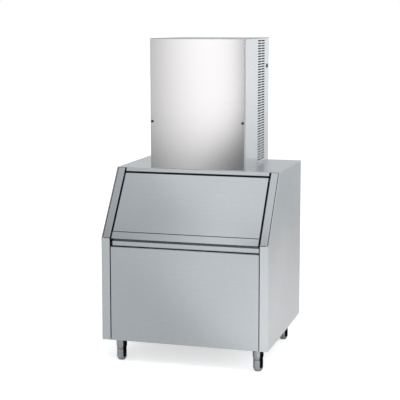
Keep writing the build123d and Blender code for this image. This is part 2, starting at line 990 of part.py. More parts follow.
def water_pump():
    """Pump standing in the sump, its motor above the water."""
    housing_top = pump_floor + pump_foot_height
    neck_top = housing_top + pump_neck_height
    pump = rod_z(pump_foot_radius, pump_x, pump_y, pump_floor, housing_top)
    pump += rod_z(pump_neck_radius, pump_x, pump_y + pump_offset, housing_top, neck_top)
    motor = rod_z(pump_motor_radius, pump_x, pump_y + pump_offset, neck_top, neck_top + pump_motor_height)
    return pump + fillet(motor.edges().group_by(Axis.Z)[-1], pump_motor_radius / 4)


def pump_hose():
    """Hose from the pump up to the distributor's end."""
    end = bracket_x + bracket_sheet + distributor_overhang
    low = pump_floor + pump_foot_height
    return pipe(
        hose_radius,
        2 * hose_radius,
        (pump_x, outlet_y, low),
        (pump_x, outlet_y, distributor_z - coil_spacing),
        (end + 2 * pipe_bend, distributor_y, distributor_z),
        (end, distributor_y, distributor_z),
    )


def inlet_valve():
    """Water inlet valve with its threaded stub through the back panel."""
    half = valve_body / 2
    y0, y1 = head_back - valve_body, head_back + gland_length
    valve = block(valve_x - half, valve_x + half, y0, head_back, valve_z - half, valve_z + half)
    valve += rod_y(inlet_neck_radius, valve_x, head_back, head_back + sheet, valve_z)
    valve += rod_y(inlet_radius, valve_x, head_back, y1, valve_z)
    return valve - rod_y(inlet_bore, valve_x, head_back, y1, valve_z)


def fill_tube():
    """Tube that fills the sump."""
    start = head_back - valve_body
    end = sump_front + sump_depth / 2
    return pipe(
        fill_radius,
        3 * fill_radius,
        (fill_x, start, valve_z),
        (fill_x, end, valve_z),
        (fill_x, end, sump_top - fill_radius),
    )


# Condenser, fan and motor

condenser_x1 = head_side - sheet - condenser_side
condenser_x0 = condenser_x1 - condenser_thick
condenser_y0 = air_middle - condenser_width / 2
condenser_y1 = air_middle + condenser_width / 2
condenser_top = head_floor + condenser_height
duct_x = condenser_x0 - duct_depth
fan_z = head_floor + condenser_height / 2
fan_middle = duct_x - fan_blade_sheet
hub_x = fan_middle - fan_hub_length / 2
motor_x1 = hub_x - motor_gap
motor_x0 = motor_x1 - motor_length


def condenser():
    """Finned condenser behind the louvres."""
    core = block(condenser_x0, condenser_x1, condenser_y0, condenser_y1, head_floor, condenser_top)
    pitch = condenser_width / condenser_fins
    middle = (condenser_x0 + condenser_x1) / 2
    gaps = []
    for fin in range(condenser_fins - 1):
        y = condenser_y0 + (fin + 1) * pitch - fin_space / 2
        low, high = head_floor + flange, condenser_top - flange
        gaps.append(block(condenser_x0, middle - fin_web / 2, y, y + fin_space, low, high))
        gaps.append(block(middle + fin_web / 2, condenser_x1, y, y + fin_space, low, high))
    return core - gaps


def fan_duct():
    """Sheet duct between the condenser and the fan."""
    duct = block(duct_x, condenser_x0, condenser_y0, condenser_y1, head_floor, condenser_top)
    duct -= block(
        duct_x + sheet,
        condenser_x0,
        condenser_y0 + sheet,
        condenser_y1 - sheet,
        head_floor + sheet,
        condenser_top - sheet,
    )
    return duct - rod_x(fan_hole_radius, duct_x, condenser_x0, air_middle, fan_z)


def fan():
    """Fan with its hub and shaft."""
    length = 2 * (fan_radius - fan_hub_radius / 2)
    blades = []
    for blade in range(fan_blades):
        root = (Align.CENTER, Align.CENTER, Align.MIN)
        plate = Box(fan_blade_sheet, fan_blade_chord, length / 2, align=root)
        plate = Rot(0, 0, fan_pitch) * plate
        blades.append(Rot(blade * 360 / fan_blades, 0, 0) * Pos(0, 0, fan_hub_radius / 2) * plate)
    wheel = Part() + blades & Rot(0, 90, 0) * Cylinder(fan_radius, fan_radius)
    wheel += Rot(0, 90, 0) * Cylinder(fan_hub_radius, fan_hub_length)
    wheel = Pos(fan_middle, air_middle, fan_z) * wheel
    return wheel + rod_x(fan_shaft_radius, motor_x1 - fan_shaft_length, hub_x, air_middle, fan_z)


def fan_motor():
    """Fan motor with the bore that the fan's shaft turns in."""
    motor = rod_x(motor_radius, motor_x0, motor_x1, air_middle, fan_z)
    motor = fillet(motor.edges().group_by(Axis.X)[0], motor_radius / 6)
    bore = fan_shaft_radius + fit_gap
    return motor - rod_x(bore, motor_x1 - fan_shaft_length - pump_gap, motor_x1, air_middle, fan_z)


def motor_bracket():
    """Clamp ring on the motor with three arms to the duct."""
    ring = motor_radius + bracket_sheet
    bracket = rod_x(ring, motor_x1 - bracket_arm, motor_x1 - sheet, air_middle, fan_z)
    tip = fan_hole_radius + bracket_arm
    half = bracket_arm / 2
    arm = block(motor_x1 - bracket_arm, motor_x1 - sheet, -half, half, motor_radius, tip)
    arm += block(motor_x1 - bracket_arm, duct_x, -half, half, tip, tip + bracket_sheet)
    for turn in (0, 120, 240):
        bracket += Pos(0, air_middle, fan_z) * Rot(turn, 0, 0) * arm
    hole = motor_radius + fit_gap
    return bracket - rod_x(hole, motor_x1 - bracket_arm, motor_x1, air_middle, fan_z)


# Compressor and pipes

compressor_y = back - compressor_back
plate_low = head_floor + grommet_height
compressor_top = plate_low + compressor_plate + compressor_height


def compressor():
    """Welded compressor can on its mounting plate."""
    low = plate_low + compressor_plate
    can = rod_z(compressor_radius, compressor_x, compressor_y, low, compressor_top)
    can = fillet(can.edges().group_by(Axis.Z)[-1], compressor_dome)
    can = fillet(can.edges().group_by(Axis.Z)[0], compressor_dome / 3)
    half = compressor_span / 2
    can += block(
        compressor_x - half, compressor_x + half, compressor_y - half, compressor_y + half, plate_low, low
    )
    for x in stub_places():
        can += rod_z(stub_radius, x, compressor_y, low, compressor_top + stub_height)
    return can


def stub_places():
    """Places across of the compressor's suction and discharge stubs."""
    offset_x = compressor_radius - compressor_dome - 2 * stub_radius
    return compressor_x - offset_x, compressor_x + offset_x


def compressor_grommets():
    """Four rubber grommets under the compressor's plate."""
    reach = compressor_span / 2 - grommet_radius
    waist = grommet_height / 4
    grommet = Cylinder(grommet_radius, grommet_height) - Cylinder(grommet_radius + sheet, waist)
    grommet += Cylinder(grommet_neck_radius, grommet_height)
    z = head_floor + grommet_height / 2
    places = [(sx * reach, sy * reach) for sx in (-1, 1) for sy in (-1, 1)]
    return Part() + [Pos(compressor_x + x, compressor_y + y, z) * grommet for x, y in places]


drier_y = partition_y + drier_forward
drier_low = head_floor + drier_rise
condenser_middle = (condenser_x0 + condenser_x1) / 2
pipe_front = condenser_y0 + liquid_inset


def filter_drier():
    """Filter drier with its tapered ends."""
    neck = drier_radius / 2
    outline = [
        (0, drier_low),
        (neck, drier_low),
        (drier_radius, drier_low + drier_radius),
        (drier_radius, drier_low + drier_length - drier_radius),
        (neck, drier_low + drier_length),
        (0, drier_low + drier_length),
    ]
    return Pos(drier_x, drier_y, 0) * turned(outline)


def suction_pipe():
    """Pipe from the evaporator back to the compressor."""
    x = stub_places()[0]
    return pipe(
        pipe_radius,
        pipe_bend,
        (coil_end_x, coil_y, coil_high),
        (pipe_x, coil_y, coil_high),
        (pipe_x, drier_y, coil_high),
        (x, drier_y, coil_high),
        (x, compressor_y, coil_high),
        (x, compressor_y, compressor_top + stub_height),
    )


def discharge_pipe():
    """Pipe from the compressor to the condenser."""
    x = stub_places()[1]
    z = condenser_top + discharge_rise
    return pipe(
        pipe_radius,
        pipe_bend,
        (x, compressor_y, compressor_top + stub_height),
        (x, compressor_y, z),
        (condenser_middle, compressor_y, z),
        (condenser_middle, compressor_y, condenser_top),
    )


def liquid_pipes():
    """Pipes from the condenser through the drier to the evaporator."""
    z = condenser_top + liquid_rise
    first = pipe(
        pipe_radius,
        pipe_bend,
        (condenser_middle, pipe_front, condenser_top),
        (condenser_middle, pipe_front, z),
        (drier_x, pipe_front, z),
        (drier_x, drier_y, z),
        (drier_x, drier_y, drier_low + drier_length),
    )
    second = pipe(
        pipe_radius,
        pipe_bend,
        (drier_x, drier_y, drier_low),
        (drier_x, drier_y, coil_low),
        (pipe_x, drier_y, coil_low),
        (pipe_x, coil_y, coil_low),
        (coil_end_x, coil_y, coil_low),
    )
    return Part() + [first, second]


# Controls and connections


def control_box():
    """Closed box for the controls on the back panel."""
    z = head_floor + control_rise
    y0 = head_back - control_depth
    box = block(control_x, control_x + control_width, y0, head_back, z, z + control_height)
    return fillet(box.faces().sort_by(Axis.Y)[0].edges(), fold_radius)


def cable_gland():
    """Gland for the mains cable in the back panel."""
    thread = gland_radius - gland_thread
    outer, inner, end = head_back + sheet, head_back - gland_thread, head_back + gland_length
    gland = rod_y(gland_radius, gland_x, outer, end, gland_z)
    gland = fillet(gland.edges().group_by(Axis.Y)[-1], gland_thread)
    gland += rod_y(thread, gland_x, inner, outer, gland_z)
    nut = extrude(RegularPolygon(gland_radius, 6), gland_thread)
    gland += Pos(gland_x, head_back, gland_z) * Rot(90, 0, 0) * nut
    return gland - rod_y(gland_bore, gland_x, inner, end, gland_z)


def build():
    """Every piece of the machine by name."""
    pieces = {
        "bin_side_right": bin_side(),
        "bin_side_left": mirrored(bin_side()),
        "slant_trim_right": slant_trim(),
        "slant_trim_left": mirrored(slant_trim()),
        "bin_front_panel": bin_front_panel(),
        "bin_back_panel": bin_back_panel(),
        "bin_top_deck": bin_top_deck(),
        "bin_base_pan": bin_base_pan(),
        "door_frame": door_frame(),
        "bin_liner": bin_liner(),
        "bin_foam": bin_foam(),
        "bin_drain": bin_drain(),
        "door_handle": door_handle(),
        "door_skin": door_skin(),
        "door_inner_panel": door_inner_panel(),
        "door_foam": door_foam(),
        "door_gasket": door_gasket(),
        "door_bushes": door_bushes(),
        "door_hinge_pins": door_hinge_pins(),
        "foot_sleeves": foot_sleeves(),
        "head_base": head_base(),
        "head_front_panel": head_front_panel(),
        "head_side_right": head_side_panel() - switch_hole(),
        "head_side_left": mirrored(head_side_panel()),
        "head_top_panel": head_top_panel(),
        "head_back_panel": head_back_panel(),
        "head_partition": head_partition(),
        "front_screws": front_screws(),
        "panel_screws": panel_screws(),
        "switch_bezel": switch_bezel_body(),
        "switch_rocker": switch_rocker(),
        "evaporator": evaporator(),
        "evaporator_coil": evaporator_coil(),
        "curtain_brackets": curtain_brackets(),
        "curtain_rod": curtain_rod(),
        "ice_curtain": ice_curtain(),
        "water_distributor": water_distributor(),
        "water_sump": water_sump(),
        "ice_chute": ice_chute(),
        "water_pump": water_pump(),
        "pump_hose": pump_hose(),
        "inlet_valve": inlet_valve(),
        "fill_tube": fill_tube(),
        "condenser": condenser(),
        "fan_duct": fan_duct(),
        "fan": fan(),
        "fan_motor": fan_motor(),
        "motor_bracket": motor_bracket(),
        "compressor": compressor(),
        "compressor_grommets": compressor_grommets(),
        "filter_drier": filter_drier(),
        "suction_pipe": suction_pipe(),
        "discharge_pipe": discharge_pipe(),
        "liquid_pipes": liquid_pipes(),
        "control_box": control_box(),
        "cable_gland": cable_gland(),
    }
    names = ("foot_front_left", "foot_front_right", "foot_rear_left", "foot_rear_right")
    for name, place in zip(names, foot_places()):
        pieces[name] = foot_pad(*place)
    return pieces


os.makedirs("parts", exist_ok=True)
for name, piece in build().items():
    export_step(piece, f"parts/{name}.step")
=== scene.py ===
import math

import bmesh
import bpy
from mathutils import Euler, Matrix, Vector


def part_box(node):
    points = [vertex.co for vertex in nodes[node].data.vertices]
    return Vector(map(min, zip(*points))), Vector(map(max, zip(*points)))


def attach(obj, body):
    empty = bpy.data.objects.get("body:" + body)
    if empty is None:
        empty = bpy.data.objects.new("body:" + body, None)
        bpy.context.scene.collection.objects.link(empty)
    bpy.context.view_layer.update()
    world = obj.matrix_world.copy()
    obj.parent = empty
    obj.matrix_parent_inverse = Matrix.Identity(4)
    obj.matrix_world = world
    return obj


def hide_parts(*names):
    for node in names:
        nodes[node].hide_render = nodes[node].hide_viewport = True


# Ice cube machine: an ice maker with louvred sides on an insulated bin with a slanted door.
# Metres, in the frame's own axes: X points right, the front faces -Y and Z points up.

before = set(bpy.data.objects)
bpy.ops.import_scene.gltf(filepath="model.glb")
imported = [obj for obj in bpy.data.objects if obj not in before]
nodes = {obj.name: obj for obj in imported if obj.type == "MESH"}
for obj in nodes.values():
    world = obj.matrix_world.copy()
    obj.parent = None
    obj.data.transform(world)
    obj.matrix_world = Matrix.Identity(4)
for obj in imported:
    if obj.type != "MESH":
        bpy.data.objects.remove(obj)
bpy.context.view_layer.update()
scene = bpy.context.scene
scene.view_settings.view_transform = "Standard"


# Studio
# A white floor that keeps the machine's shadow, a white surround and soft lamps.
# The surround that the metal mirrors is darker on the left, as in a photo studio.

def new_material(name):
    """An empty node material with its output, and a shortcut that adds a node."""
    material = bpy.data.materials.new(name)
    material.use_nodes = True
    tree = material.node_tree
    tree.nodes.clear()
    output = tree.nodes.new("ShaderNodeOutputMaterial")
    return material, tree, output


def mesh_object(name, mesh):
    """A new object at the origin that holds the mesh."""
    made = bpy.data.objects.new(name, mesh)
    scene.collection.objects.link(made)
    return made


def card(name, width, height, place, aim):
    """A flat rectangle at place that faces the point aim."""
    mesh = bpy.data.meshes.new(name)
    half_w, half_h = width / 2, height / 2
    corners = [(-half_w, -half_h, 0), (half_w, -half_h, 0), (half_w, half_h, 0), (-half_w, half_h, 0)]
    mesh.from_pydata(corners, [], [(0, 1, 2, 3)])
    turn = (Vector(aim) - Vector(place)).to_track_quat("Z", "Y").to_matrix().to_4x4()
    mesh.transform(Matrix.Translation(place) @ turn)
    made = mesh_object(name, mesh)
    return made


def studio_floor():
    """White floor. The camera sees it a little brighter than the lamps make it."""
    material, tree, output = new_material("studio_floor_white")
    paint = tree.nodes.new("ShaderNodeBsdfDiffuse")
    paint.inputs["Color"].default_value = (0.82, 0.82, 0.82, 1)
    glow = tree.nodes.new("ShaderNodeEmission")
    rays = tree.nodes.new("ShaderNodeLightPath")
    lift = tree.nodes.new("ShaderNodeMath")
    lift.operation = "MULTIPLY"
    lift.inputs[1].default_value = 0.55
    both = tree.nodes.new("ShaderNodeAddShader")
    tree.links.new(rays.outputs["Is Camera Ray"], lift.inputs[0])
    tree.links.new(lift.outputs[0], glow.inputs["Strength"])
    tree.links.new(paint.outputs[0], both.inputs[0])
    tree.links.new(glow.outputs[0], both.inputs[1])
    tree.links.new(both.outputs[0], output.inputs["Surface"])
    floor = card("studio_floor", 60, 60, (0, 0, 0), (0, 0, 1))
    floor.data.materials.append(material)


def mirror_card(name, width, height, place, aim, dark, light, ramps=()):
    """A glowing card that only mirrors show, to shape what the steel reflects.

    Its tone goes from dark to light as the product of the ramps goes from 0 to 1.
    A ramp is a direction and the two distances along it where it starts and ends.
    """
    material, tree, output = new_material(name)
    glow = tree.nodes.new("ShaderNodeEmission")
    where = tree.nodes.new("ShaderNodeTexCoord")
    mix = tree.nodes.new("ShaderNodeMix")
    mix.data_type = "RGBA"
    mix.inputs["Factor"].default_value = 1
    mix.inputs["A"].default_value = (*dark, 1)
    mix.inputs["B"].default_value = (*light, 1)
    product = None
    for way, start, end in ramps:
        along = tree.nodes.new("ShaderNodeVectorMath")
        along.operation = "DOT_PRODUCT"
        along.inputs[1].default_value = way
        ramp = tree.nodes.new("ShaderNodeMapRange")
        ramp.interpolation_type = "SMOOTHSTEP"
        ramp.inputs["From Min"].default_value = start
        ramp.inputs["From Max"].default_value = end
        tree.links.new(where.outputs["Object"], along.inputs[0])
        tree.links.new(along.outputs["Value"], ramp.inputs["Value"])
        if product:
            both = tree.nodes.new("ShaderNodeMath")
            both.operation = "MULTIPLY"
            tree.links.new(product, both.inputs[0])
            tree.links.new(ramp.outputs[0], both.inputs[1])
            product = both.outputs[0]
        else:
            product = ramp.outputs[0]
        tree.links.new(product, mix.inputs["Factor"])
    tree.links.new(mix.outputs["Result"], glow.inputs["Color"])
    tree.links.new(glow.outputs[0], output.inputs["Surface"])
    made = card(name, width, height, place, aim)
    made.data.materials.append(material)
    made.visible_camera = False
    made.visible_diffuse = False
    made.visible_shadow = False
    made.visible_transmission = False


def studio_surround():
    """White for the camera. Everything else gets a soft grey that is lighter to the right."""
    world = bpy.data.worlds.new("studio")
    scene.world = world
    world.use_nodes = True
    tree = world.node_tree
    tree.nodes.clear()
    output = tree.nodes.new("ShaderNodeOutputWorld")
    light = tree.nodes.new("ShaderNodeBackground")
    seen = tree.nodes.new("ShaderNodeBackground")
    seen.inputs["Color"].default_value = (1, 1, 1, 1)
    mix = tree.nodes.new("ShaderNodeMixShader")
    rays = tree.nodes.new("ShaderNodeLightPath")
    way = tree.nodes.new("ShaderNodeTexCoord")
    split = tree.nodes.new("ShaderNodeSeparateXYZ")
    ramp = tree.nodes.new("ShaderNodeValToRGB")
    tree.links.new(way.outputs["Generated"], split.inputs[0])
    side = tree.nodes.new("ShaderNodeMapRange")
    side.inputs["From Min"].default_value = -1
    side.inputs["From Max"].default_value = 1
    tree.links.new(split.outputs["X"], side.inputs["Value"])
    tree.links.new(side.outputs[0], ramp.inputs[0])
    ramp.color_ramp.interpolation = "EASE"
    low, high = ramp.color_ramp.elements
    low.color = (0.5, 0.515, 0.53, 1)
    high.color = (0.86, 0.87, 0.88, 1)
    tree.links.new(ramp.outputs["Color"], light.inputs["Color"])
    tree.links.new(rays.outputs["Is Camera Ray"], mix.inputs[0])
    tree.links.new(light.outputs[0], mix.inputs[1])
    tree.links.new(seen.outputs[0], mix.inputs[2])
    tree.links.new(mix.outputs[0], output.inputs["Surface"])


def lamp(name, watts, size, place, aim):
    """A square soft box at place, aimed at a point. The cards take its place in mirrors."""
    light = bpy.data.lights.new(name, "AREA")
    light.energy = watts
    light.size = size
    made = bpy.data.objects.new(name, light)
    made.location = place
    made.rotation_mode = "QUATERNION"
    made.rotation_quaternion = (Vector(aim) - Vector(place)).to_track_quat("-Z", "Y")
    made.visible_glossy = False
    scene.collection.objects.link(made)


def camera():
    """Seen from the right of the front, a little above the machine's middle."""
    place = (1.6189, -5.6768, 1.7277)
    turn_left = math.radians(15.87)
    look_down = math.radians(7.06)
    frame_width = 400
    focal_length = 1131.1
    shift = (6.0, -36.0)
    data = bpy.data.cameras.new("photo_camera")
    data.sensor_width = 36
    data.lens = focal_length / frame_width * data.sensor_width
    data.shift_x = -shift[0] / frame_width
    data.shift_y = shift[1] / frame_width
    made = bpy.data.objects.new("photo_camera", data)
    made.location = place
    made.rotation_euler = Euler((math.pi / 2 - look_down, 0, turn_left))
    scene.collection.objects.link(made)
    scene.camera = made


studio_floor()
studio_surround()
lamp("top_soft_box", 105, 2.6, (1.2, -2.6, 4.2), (0, 0, 0.8))
lamp("front_soft_box", 20, 1.6, (-0.6, -3.2, 1.6), (0.08, -0.15, 1.2))
lamp("right_soft_box", 60, 2.4, (4.2, 0.6, 2.4), (0.3, 0, 0.9))


def head_reflection():
    """A warm glow on the upper front of the ice maker that falls off into its lower corners."""
    ramps = [
        ((1, 0, 0), -0.918, -0.205),
        ((-1, 0, 0), -0.079, 0.047),
        ((0, 0, 1), 0.44, 1.311),
        ((-1, 0, 0.8), 0.704, 1.039),
        ((1, 0, 0.9), -0.154, 0.475),
    ]
    place = (-0.28, -1.1, 1.28)
    dark, light = (0.08, 0.09, 0.094), (1.66, 1.62, 1.61)
    mirror_card("head_card", 1.4, 1.06, place, (place[0], 0, place[2]), dark, light, ramps)


def bin_reflections():
    """Slanting shades in the door and the lower front, dark on the left and light on the right."""
    dark, light = (0.77, 0.81, 0.84), (1.2, 1.235, 1.27)
    door_ramps = [((1, 0.63, 0), -1.08, -0.78)]
    mirror_card("door_card", 2.8, 1.7, (-0.2, -1.15, 1.9), (-0.2, -1.15, 0), dark, light, door_ramps)
    panel_ramps = [((1, -0.57, 0), 0.42, 0.83)]
    mirror_card("panel_card", 6, 9, (-1.4, -5, 0.002), (-1.4, -5, 1), dark, light, panel_ramps)


def back_reflections():
    """Pale cards behind the machine, which its tops and the ice maker's side show."""
    deck_tone = (0.9, 0.92, 0.94)
    mirror_card("deck_card", 3.2, 2.8, (-1.1, 4, 1.9), (-1.1, 0, 1.9), deck_tone, deck_tone)
    dark, light = (0.64, 0.68, 0.7), (0.93, 0.95, 0.97)
    side_ramps = [((0, 0, 1), 0.45, 1.3)]
    mirror_card("side_card", 2.2, 2.8, (1.7, 4.01, 1.2), (1.7, 0, 1.2), dark, light, side_ramps)


def foot_reflections():
    """Black cards beside and behind the feet, under the bin, for their dark right sides."""
    black = (0.01, 0.01, 0.01)
    near, middle, height = 0.06, 0.064, 0.122
    for foot in ("foot_front_left", "foot_front_right", "foot_rear_right"):
        low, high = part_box(foot)
        x, y = (low.x + high.x) / 2, (low.y + high.y) / 2
        beside, behind = (x + near, y, middle), (x + near / 2, y + near, middle)
        mirror_card(foot + "_right_card", 2 * near, height, beside, (x, y, middle), black, black)
        mirror_card(foot + "_back_card", near, height, behind, (x + near / 2, y, middle), black, black)


head_reflection()
bin_reflections()
back_reflections()
foot_reflections()
camera()


# Stainless sheets of the bin and the ice maker
# Brushed stainless steel, 1.2 mm thick, cut, folded and screwed together.
# The grain runs across the fronts and up the sides, and the folds catch the light. Each panel's base tone
# is painted lighter or darker for how the light falls on it, the louvres get painted shade inside and the
# seams a painted shadow along their rims.

def node_group(name, inputs, outputs):
    """An empty shader group with its sockets, given as (type, name, value)."""
    group = bpy.data.node_groups.new(name, "ShaderNodeTree")
    for kind, socket, value in inputs:
        made = group.interface.new_socket(socket, in_out="INPUT", socket_type=kind)
        made.default_value = value
    for kind, socket in outputs:
        group.interface.new_socket(socket, in_out="OUTPUT", socket_type=kind)
    return group, group.nodes.new("NodeGroupInput"), group.nodes.new("NodeGroupOutput")


def grain_group():
    """Brush lines along one axis, and soft clouds much wider than they are."""
    inputs = [("NodeSocketVector", "Stretch", (20, 900, 900)), ("NodeSocketFloat", "Cloud Size", 0.4)]
    outputs = [("NodeSocketFloat", "Lines"), ("NodeSocketFloat", "Streaks"), ("NodeSocketFloat", "Clouds")]
    group, given, result = node_group("brushed_grain", inputs, outputs)
    place = group.nodes.new("ShaderNodeTexCoord")
    fine = group.nodes.new("ShaderNodeVectorMath")
    fine.operation = "MULTIPLY"
    lines = group.nodes.new("ShaderNodeTexNoise")
    lines.inputs["Scale"].default_value = 1
    lines.inputs["Detail"].default_value = 3
    coarse = group.nodes.new("ShaderNodeVectorMath")
    coarse.operation = "SCALE"
    coarse.inputs["Scale"].default_value = 0.12
    streaks = group.nodes.new("ShaderNodeTexNoise")
    streaks.inputs["Scale"].default_value = 1
    streaks.inputs["Detail"].default_value = 2
    invert = group.nodes.new("ShaderNodeMath")
    invert.operation = "DIVIDE"
    invert.inputs[0].default_value = 1
    clouds = group.nodes.new("ShaderNodeTexNoise")
    clouds.inputs["Detail"].default_value = 1
    group.links.new(place.outputs["Object"], fine.inputs[0])
    group.links.new(given.outputs["Stretch"], fine.inputs[1])
    group.links.new(fine.outputs["Vector"], lines.inputs["Vector"])
    group.links.new(fine.outputs["Vector"], coarse.inputs[0])
    group.links.new(coarse.outputs["Vector"], streaks.inputs["Vector"])
    group.links.new(given.outputs["Cloud Size"], invert.inputs[1])
    group.links.new(place.outputs["Object"], clouds.inputs["Vector"])
    group.links.new(invert.outputs[0], clouds.inputs["Scale"])
    group.links.new(lines.outputs["Fac"], result.inputs["Lines"])
    group.links.new(streaks.outputs["Fac"], result.inputs["Streaks"])
    group.links.new(clouds.outputs["Fac"], result.inputs["Clouds"])
    return group


def soft_edge_group():
    """Normal with its edges rounded, and a mask that is 1 on them."""
    outputs = [("NodeSocketVector", "Normal"), ("NodeSocketFloat", "Edge")]
    group, given, result = node_group("soft_edge", [("NodeSocketFloat", "Radius", 0.0006)], outputs)
    bevel = group.nodes.new("ShaderNodeBevel")
    bevel.samples = 4
    flat = group.nodes.new("ShaderNodeNewGeometry")
    dot = group.nodes.new("ShaderNodeVectorMath")
    dot.operation = "DOT_PRODUCT"
    mask = group.nodes.new("ShaderNodeMapRange")
    mask.inputs["From Min"].default_value = 0.98
    mask.inputs["From Max"].default_value = 0.85
    group.links.new(given.outputs["Radius"], bevel.inputs["Radius"])
    group.links.new(bevel.outputs["Normal"], dot.inputs[0])
    group.links.new(flat.outputs["Normal"], dot.inputs[1])
    group.links.new(dot.outputs["Value"], mask.inputs["Value"])
    group.links.new(bevel.outputs["Normal"], result.inputs["Normal"])
    group.links.new(mask.outputs[0], result.inputs["Edge"])
    return group


grain = grain_group()
soft_edge = soft_edge_group()


def place_group(tree, group, **values):
    """The group as a node in a material, with its own values."""
    node = tree.nodes.new("ShaderNodeGroup")
    node.node_tree = group
    for socket, value in values.items():
        node.inputs[socket.replace("_", " ").title()].default_value = value
    return node


def blend_colour(tree, mask, dark, light):
    """A colour that goes from dark to light as the mask goes from 0 to 1."""
    mix = tree.nodes.new("ShaderNodeMix")
    mix.data_type = "RGBA"
    mix.inputs["A"].default_value = (*dark, 1)
    mix.inputs["B"].default_value = (*light, 1)
    tree.links.new(mask, mix.inputs["Factor"])
    return mix.outputs["Result"]


def spread(tree, mask, low, high, start=0.3, end=0.7):
    """The mask's middle range, spread from low to high."""
    node = tree.nodes.new("ShaderNodeMapRange")
    node.inputs["From Min"].default_value = start
    node.inputs["From Max"].default_value = end
    node.inputs["To Min"].default_value = low
    node.inputs["To Max"].default_value = high
    tree.links.new(mask, node.inputs["Value"])
    return node.outputs[0]


def bump(tree, height, depth, normal=None, strength=1.0):
    """A bump of the given depth in metres, on top of another normal."""
    node = tree.nodes.new("ShaderNodeBump")
    node.inputs["Distance"].default_value = depth
    node.inputs["Strength"].default_value = strength
    tree.links.new(height, node.inputs["Height"])
    if normal:
        tree.links.new(normal, node.inputs["Normal"])
    return node.outputs[0]


def shader(tree, output, metallic=0.0, rough=0.5):
    """The surface shader, linked to the output."""
    node = tree.nodes.new("ShaderNodeBsdfPrincipled")
    node.inputs["Metallic"].default_value = metallic
    node.inputs["Roughness"].default_value = rough
    tree.links.new(node.outputs[0], output.inputs["Surface"])
    return node


def wear(names, material):
    """Gives the CAD nodes of these names the material."""
    for name in names:
        mesh = nodes[name].data
        mesh.materials.clear()
        mesh.materials.append(material)


def louvre_painted_shade(tree, colour, skin, surface):
    """The colour, with painted shade (near black, not metallic) further in than the outer skin at x = skin
    on either side, so the louvre slots read as dark.
    """
    place = tree.nodes.new("ShaderNodeTexCoord")
    split = tree.nodes.new("ShaderNodeSeparateXYZ")
    away = tree.nodes.new("ShaderNodeMath")
    away.operation = "ABSOLUTE"
    tree.links.new(place.outputs["Object"], split.inputs[0])
    tree.links.new(split.outputs["X"], away.inputs[0])
    mask = spread(tree, away.outputs[0], 0, 1, skin - 0.0004, skin - 0.0001)
    mix = tree.nodes.new("ShaderNodeMix")
    mix.data_type = "RGBA"
    # Near black painted shade for the louvre blades inside the skin.
    mix.inputs["A"].default_value = (0.02, 0.021, 0.022, 1)
    tree.links.new(mask, surface.inputs["Metallic"])
    tree.links.new(mask, mix.inputs["Factor"])
    tree.links.new(colour, mix.inputs["B"])
    return mix.outputs["Result"]


def brushed_steel(name, stretch, dark, light, rough=0.25, cloud=0.5, skin=None, seam_shade_radius=None):
    """Brushed sheet whose lines run along the axis with the smallest stretch.

    A sheet with louvres gets painted shade inside its skin, and a seam radius gives its rim a band of
    painted shadow.
    """
    material, tree, output = new_material(name)
    surface = shader(tree, output, metallic=1.0)
    lines = place_group(tree, grain, stretch=stretch, cloud_size=cloud)
    edge = place_group(tree, soft_edge, radius=0.0008)
    tone = tree.nodes.new("ShaderNodeMix")
    tone.inputs["Factor"].default_value = 0.12
    tree.links.new(lines.outputs["Clouds"], tone.inputs["A"])
    tree.links.new(lines.outputs["Streaks"], tone.inputs["B"])
    base = blend_colour(tree, spread(tree, tone.outputs["Result"], 0, 1), dark, light)
    if skin:
        # Painted shade: the louvre blades inside the skin are made near black so the slots look dark.
        base = louvre_painted_shade(tree, base, skin, surface)
    if seam_shade_radius:
        # Painted shadow: a near black band along every edge of the sheet stands in for the shade in the
        # seams.
        rim_shade = place_group(tree, soft_edge, radius=seam_shade_radius)
        shade = tree.nodes.new("ShaderNodeMix")
        shade.data_type = "RGBA"
        shade.inputs["B"].default_value = (0.06, 0.062, 0.065, 1)
        tree.links.new(rim_shade.outputs["Edge"], shade.inputs["Factor"])
        tree.links.new(base, shade.inputs["A"])
        base = shade.outputs["Result"]
    tree.links.new(base, surface.inputs["Base Color"])
    sheen = spread(tree, lines.outputs["Lines"], rough - 0.02, rough + 0.03)
    tree.links.new(sheen, surface.inputs["Roughness"])
    relief = bump(tree, lines.outputs["Lines"], 0.000009, edge.outputs["Normal"])
    tree.links.new(relief, surface.inputs["Normal"])
    return material


across = (9, 1100, 1100)
upright = (1100, 1100, 9)
head_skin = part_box("head_side_right")[1].x
# Painted light and shade: the same stainless steel gets a darker base on the bin front, door, tops and
# trims, a middle one on the bin sides and a lighter one on the ice maker's front and sides, for how the
# light falls on each.
front_painted_shade_tones = (0.43, 0.445, 0.455), (0.49, 0.5, 0.51)
trim_painted_shade_tones = (0.4, 0.41, 0.42), (0.45, 0.46, 0.47)
head_side_painted_light_tones = (0.72, 0.735, 0.745), (0.78, 0.79, 0.8)
bin_fronts = brushed_steel("bin_stainless_across", across, *front_painted_shade_tones, seam_shade_radius=0.002)
bin_sides = brushed_steel("bin_stainless_upright", upright, (0.5, 0.51, 0.515), (0.56, 0.565, 0.57))
tops = brushed_steel("top_stainless_across", across, *front_painted_shade_tones, 0.32)
trims = brushed_steel("trim_stainless_upright", upright, *trim_painted_shade_tones, seam_shade_radius=0.002)
head_front = brushed_steel("head_stainless_across", across, (0.6, 0.6, 0.605), (0.64, 0.64, 0.645), 0.2)
head_sides = brushed_steel("head_stainless_upright", upright, *head_side_painted_light_tones, skin=head_skin)
wear(["bin_front_panel", "door_skin", "door_handle"], bin_fronts)
wear(["bin_top_deck", "head_top_panel"], tops)
wear(["bin_side_right", "bin_side_left"], bin_sides)
wear(["slant_trim_right", "slant_trim_left"], trims)
wear(["head_side_right", "head_side_left"], head_sides)
wear(["head_front_panel"], head_front)


# Inner and back sheets
# Zinc-coated steel with its faint crystal pattern, out of sight from the front.

